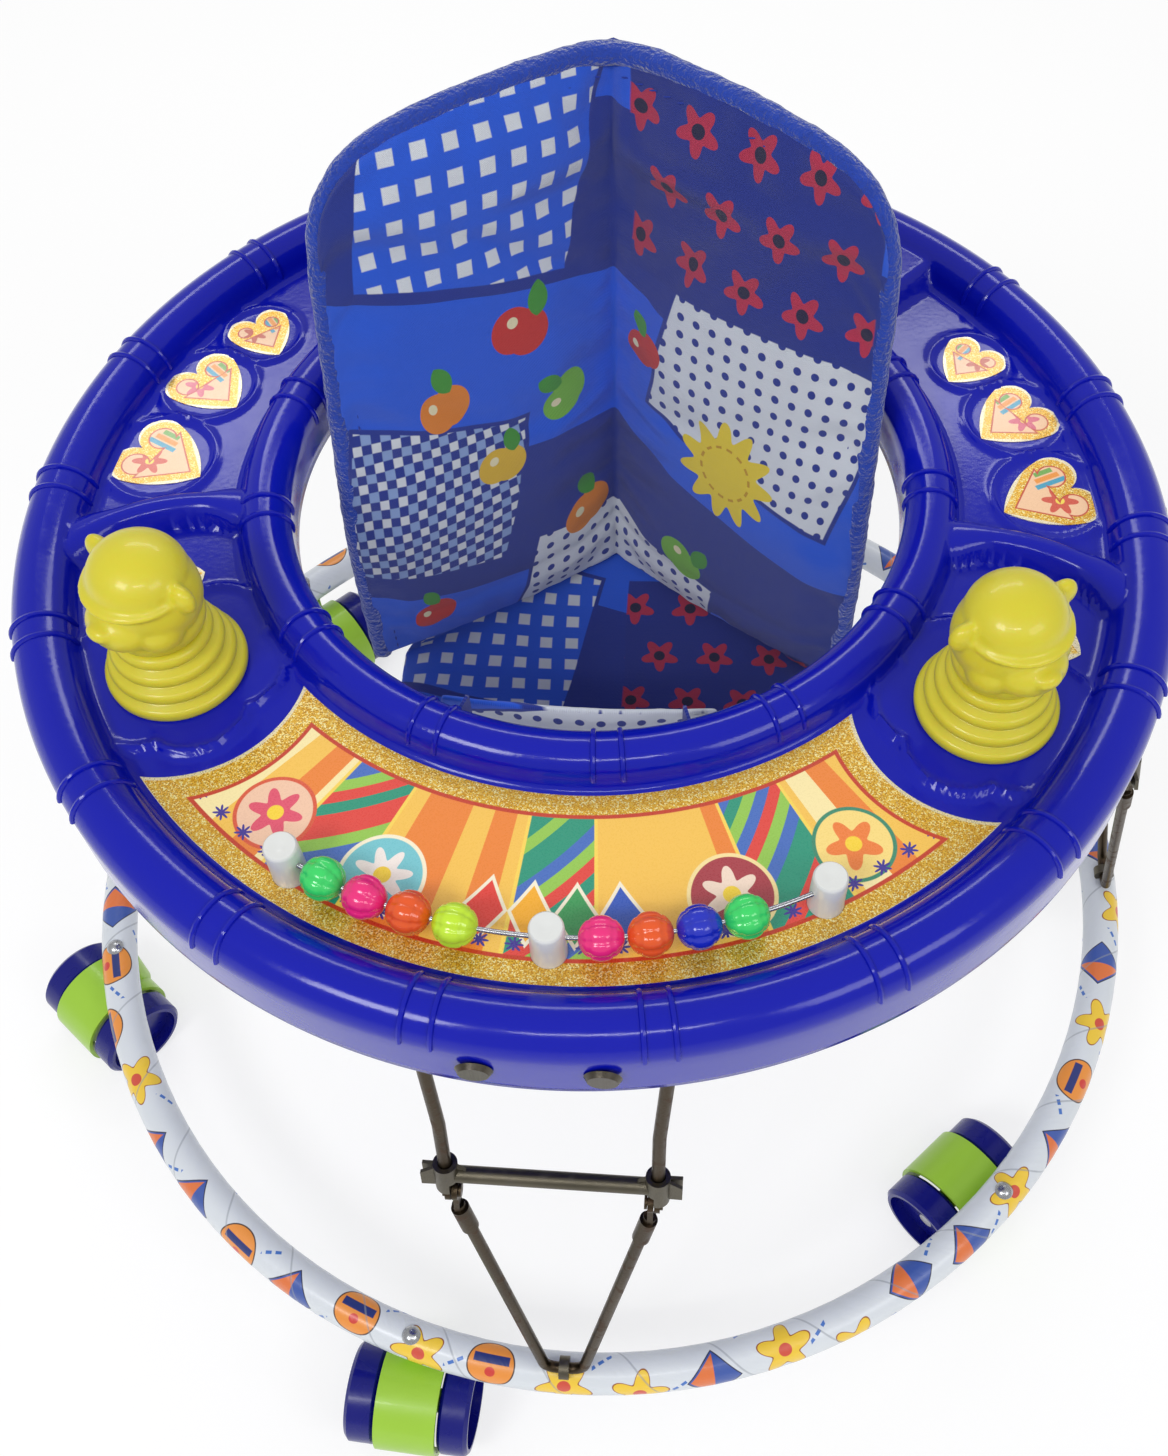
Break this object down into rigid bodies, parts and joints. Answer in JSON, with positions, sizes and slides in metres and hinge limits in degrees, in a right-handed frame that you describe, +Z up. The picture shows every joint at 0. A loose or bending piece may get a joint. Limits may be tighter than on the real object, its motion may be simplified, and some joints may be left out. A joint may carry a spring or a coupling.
{
  "type": "baby activity walker",
  "caption": "Round folding baby walker: floor ring on twin-wheel casters, wire legs with sliding knee locks, play tray with bead rails, squeeze toys and a padded seat.",
  "frame": {"origin": "on the floor, at the centre of the floor ring", "axes": "+Z up; -Y is the front, where the bead rails are; +X is to the right of someone who looks at the front"},
  "size_m": [0.6502, 0.6682, 0.5155],
  "materials": {
    "ring_steel": "painted",
    "printed_tape": "printed",
    "rivet_steel": "bright",
    "wire_steel": "brown plated",
    "lime_plastic": "moulded",
    "navy_plastic": "moulded",
    "tray_blue": "moulded",
    "gold_label": "printed",
    "white_plastic": "moulded",
    "bead_green": "moulded",
    "bead_pink": "moulded",
    "bead_orange": "moulded",
    "bead_lime": "moulded",
    "bead_blue": "moulded",
    "toy_yellow": "glossy",
    "seat_cloth": "printed",
    "binding_cloth": "fleecy",
    "board": "plain"
  },
  "bodies": {
    "base": {"base_ring_tube": "ring_steel", "ring_tape": "printed_tape", "caster_pins": "rivet_steel", "leg_lugs": "wire_steel"},
    "caster_1": {"caster_housing_1": "lime_plastic"},
    "wheels_1": {"caster_wheels_1": "navy_plastic", "caster_axle_1": "rivet_steel"},
    "caster_2": {"caster_housing_2": "lime_plastic"},
    "wheels_2": {"caster_wheels_2": "navy_plastic", "caster_axle_2": "rivet_steel"},
    "caster_3": {"caster_housing_3": "lime_plastic"},
    "wheels_3": {"caster_wheels_3": "navy_plastic", "caster_axle_3": "rivet_steel"},
    "caster_4": {"caster_housing_4": "lime_plastic"},
    "wheels_4": {"caster_wheels_4": "navy_plastic", "caster_axle_4": "rivet_steel"},
    "caster_5": {"caster_housing_5": "lime_plastic"},
    "wheels_5": {"caster_wheels_5": "navy_plastic", "caster_axle_5": "rivet_steel"},
    "caster_6": {"caster_housing_6": "lime_plastic"},
    "wheels_6": {"caster_wheels_6": "navy_plastic", "caster_axle_6": "rivet_steel"},
    "front_lower": {"lower_wire_1": "wire_steel"},
    "front_upper": {"upper_wire_1": "wire_steel"},
    "front_lock": {"lock_bar_1": "wire_steel"},
    "right_lower": {"lower_wire_2": "wire_steel"},
    "right_upper": {"upper_wire_2": "wire_steel"},
    "right_lock": {"lock_bar_2": "wire_steel"},
    "rear_lower": {"lower_wire_3": "wire_steel"},
    "rear_upper": {"upper_wire_3": "wire_steel"},
    "rear_lock": {"lock_bar_3": "wire_steel"},
    "left_lower": {"lower_wire_4": "wire_steel"},
    "left_upper": {"upper_wire_4": "wire_steel"},
    "left_lock": {"lock_bar_4": "wire_steel"},
    "tray": {"tray_shell": "tray_blue", "hinge_brackets": "rivet_steel", "bracket_rivets": "rivet_steel", "front_label": "gold_label", "heart_labels": "gold_label", "toy_labels": "gold_label", "bead_posts": "white_plastic", "bead_wires": "rivet_steel", "toy_bellows_1": "toy_yellow", "toy_bellows_2": "toy_yellow", "seat_back_pad": "seat_cloth", "seat_board": "board", "seat_back_cloth": "seat_cloth", "seat_binding": "binding_cloth", "seat_pouch": "seat_cloth", "seat_straps": "binding_cloth"},
    "bead_left_1": {"bead_left_1": "bead_green"},
    "bead_left_2": {"bead_left_2": "bead_pink"},
    "bead_left_3": {"bead_left_3": "bead_orange"},
    "bead_left_4": {"bead_left_4": "bead_lime"},
    "bead_right_1": {"bead_right_1": "bead_pink"},
    "bead_right_2": {"bead_right_2": "bead_orange"},
    "bead_right_3": {"bead_right_3": "bead_blue"},
    "bead_right_4": {"bead_right_4": "bead_green"},
    "toy_left": {"toy_head_1": "toy_yellow"},
    "toy_right": {"toy_head_2": "toy_yellow"}
  },
  "joints": [
    {"name": "caster_swivel_1", "type": "hinge", "parent": "base", "child": "caster_1", "pos_m": [-0.0791, -0.28524, 0.066], "axis": [0, 0, 1], "continuous": true},
    {"name": "wheel_spin_1", "type": "hinge", "parent": "caster_1", "child": "wheels_1", "pos_m": [-0.08042, -0.30619, 0.025], "axis": [0.998, -0.0628, 0], "continuous": true},
    {"name": "caster_swivel_2", "type": "hinge", "parent": "base", "child": "caster_2", "pos_m": [0.22474, -0.19263, 0.066], "axis": [0, 0, 1], "continuous": true},
    {"name": "wheel_spin_2", "type": "hinge", "parent": "caster_2", "child": "wheels_2", "pos_m": [0.20979, -0.17788, 0.025], "axis": [-0.7022, -0.712, 0], "continuous": true},
    {"name": "caster_swivel_3", "type": "hinge", "parent": "base", "child": "caster_3", "pos_m": [0.28396, 0.08357, 0.066], "axis": [0, 0, 1], "continuous": true},
    {"name": "wheel_spin_3", "type": "hinge", "parent": "caster_3", "child": "wheels_3", "pos_m": [0.27429, 0.06493, 0.025], "axis": [0.8878, -0.4602, 0], "continuous": true},
    {"name": "caster_swivel_4", "type": "hinge", "parent": "base", "child": "caster_4", "pos_m": [0.0791, 0.28524, 0.066], "axis": [0, 0, 1], "continuous": true},
    {"name": "wheel_spin_4", "type": "hinge", "parent": "caster_4", "child": "wheels_4", "pos_m": [0.08042, 0.30619, 0.025], "axis": [-0.998, 0.0628, 0], "continuous": true},
    {"name": "caster_swivel_5", "type": "hinge", "parent": "base", "child": "caster_5", "pos_m": [-0.22474, 0.19263, 0.066], "axis": [0, 0, 1], "continuous": true},
    {"name": "wheel_spin_5", "type": "hinge", "parent": "caster_5", "child": "wheels_5", "pos_m": [-0.20979, 0.17788, 0.025], "axis": [0.7022, 0.712, 0], "continuous": true},
    {"name": "caster_swivel_6", "type": "hinge", "parent": "base", "child": "caster_6", "pos_m": [-0.28396, -0.08357, 0.066], "axis": [0, 0, 1], "continuous": true},
    {"name": "wheel_spin_6", "type": "hinge", "parent": "caster_6", "child": "wheels_6", "pos_m": [-0.29689, -0.10012, 0.025], "axis": [0.788, -0.6157, 0], "continuous": true},
    {"name": "fold", "type": "hinge", "parent": "base", "child": "front_lower", "pos_m": [0, -0.296, 0.0795], "axis": [-1, 0, 0], "range_deg": [0, 57]},
    {"name": "front_knee", "type": "hinge", "parent": "front_lower", "child": "front_upper", "pos_m": [0, -0.25977, 0.25275], "axis": [-1, 0, 0], "range_deg": [-138.36, 0]},
    {"name": "front_lock_slide", "type": "slide", "parent": "front_upper", "child": "front_lock", "axis": [0, 0.2047, 0.9788], "range_m": [0, 0.025]},
    {"name": "right_fold", "type": "hinge", "parent": "base", "child": "right_lower", "pos_m": [0.296, 0, 0.0795], "axis": [0, -1, 0], "range_deg": [0, 57]},
    {"name": "right_knee", "type": "hinge", "parent": "right_lower", "child": "right_upper", "pos_m": [0.25977, 0, 0.25275], "axis": [0, -1, 0], "range_deg": [-138.36, 0]},
    {"name": "right_lock_slide", "type": "slide", "parent": "right_upper", "child": "right_lock", "axis": [-0.2047, 0, 0.9788], "range_m": [0, 0.025]},
    {"name": "rear_fold", "type": "hinge", "parent": "base", "child": "rear_lower", "pos_m": [0, 0.296, 0.0795], "axis": [1, 0, 0], "range_deg": [0, 57]},
    {"name": "rear_knee", "type": "hinge", "parent": "rear_lower", "child": "rear_upper", "pos_m": [0, 0.25977, 0.25275], "axis": [1, 0, 0], "range_deg": [-138.36, 0]},
    {"name": "rear_lock_slide", "type": "slide", "parent": "rear_upper", "child": "rear_lock", "axis": [0, -0.2047, 0.9788], "range_m": [0, 0.025]},
    {"name": "left_fold", "type": "hinge", "parent": "base", "child": "left_lower", "pos_m": [-0.296, 0, 0.0795], "axis": [0, 1, 0], "range_deg": [0, 57]},
    {"name": "left_knee", "type": "hinge", "parent": "left_lower", "child": "left_upper", "pos_m": [-0.25977, 0, 0.25275], "axis": [0, 1, 0], "range_deg": [-138.36, 0]},
    {"name": "left_lock_slide", "type": "slide", "parent": "left_upper", "child": "left_lock", "axis": [0.2047, 0, 0.9788], "range_m": [0, 0.025]},
    {"name": "tray_hinge", "type": "hinge", "parent": "front_upper", "child": "tray", "pos_m": [0, -0.2365, 0.364], "axis": [-1, 0, 0], "range_deg": [0, 81.36]},
    {"name": "bead_left_1_slide", "type": "hinge", "parent": "tray", "child": "bead_left_1", "pos_m": [0, 0, 0.364], "axis": [0, 0, 1], "range_deg": [-0.54, 4.99]},
    {"name": "bead_left_2_slide", "type": "hinge", "parent": "tray", "child": "bead_left_2", "pos_m": [0, 0, 0.364], "axis": [0, 0, 1], "range_deg": [-0.54, 4.99]},
    {"name": "bead_left_3_slide", "type": "hinge", "parent": "tray", "child": "bead_left_3", "pos_m": [0, 0, 0.364], "axis": [0, 0, 1], "range_deg": [-0.54, 4.99]},
    {"name": "bead_left_4_slide", "type": "hinge", "parent": "tray", "child": "bead_left_4", "pos_m": [0, 0, 0.364], "axis": [0, 0, 1], "range_deg": [-0.54, 4.99]},
    {"name": "bead_right_1_slide", "type": "hinge", "parent": "tray", "child": "bead_right_1", "pos_m": [0, 0, 0.364], "axis": [0, 0, 1], "range_deg": [-0.94, 4.59]},
    {"name": "bead_right_2_slide", "type": "hinge", "parent": "tray", "child": "bead_right_2", "pos_m": [0, 0, 0.364], "axis": [0, 0, 1], "range_deg": [-0.94, 4.59]},
    {"name": "bead_right_3_slide", "type": "hinge", "parent": "tray", "child": "bead_right_3", "pos_m": [0, 0, 0.364], "axis": [0, 0, 1], "range_deg": [-0.94, 4.59]},
    {"name": "bead_right_4_slide", "type": "hinge", "parent": "tray", "child": "bead_right_4", "pos_m": [0, 0, 0.364], "axis": [0, 0, 1], "range_deg": [-0.94, 4.59]},
    {"name": "toy_press_left", "type": "slide", "parent": "tray", "child": "toy_left", "axis": [0, 0, -1], "range_m": [0, 0.008], "stiffness_N_per_m": 350, "springref_m": -0.004, "deforming": ["toy_bellows_1"]},
    {"name": "toy_press_right", "type": "slide", "parent": "tray", "child": "toy_right", "axis": [0, 0, -1], "range_m": [0, 0.008], "stiffness_N_per_m": 350, "springref_m": -0.004, "deforming": ["toy_bellows_2"]}
  ],
  "couplings": [
    {"joint": "front_knee", "follows": "fold", "ratio": -2.4265},
    {"joint": "right_fold", "follows": "fold", "ratio": 1},
    {"joint": "right_knee", "follows": "fold", "ratio": -2.4265},
    {"joint": "rear_fold", "follows": "fold", "ratio": 1},
    {"joint": "rear_knee", "follows": "fold", "ratio": -2.4265},
    {"joint": "left_fold", "follows": "fold", "ratio": 1},
    {"joint": "left_knee", "follows": "fold", "ratio": -2.4265},
    {"joint": "tray_hinge", "follows": "fold", "ratio": 1.4265},
    {"joint": "bead_left_2_slide", "follows": "bead_left_1_slide", "ratio": 1},
    {"joint": "bead_left_3_slide", "follows": "bead_left_1_slide", "ratio": 1},
    {"joint": "bead_left_4_slide", "follows": "bead_left_1_slide", "ratio": 1},
    {"joint": "bead_right_2_slide", "follows": "bead_right_1_slide", "ratio": 1},
    {"joint": "bead_right_3_slide", "follows": "bead_right_1_slide", "ratio": 1},
    {"joint": "bead_right_4_slide", "follows": "bead_right_1_slide", "ratio": 1}
  ]
}
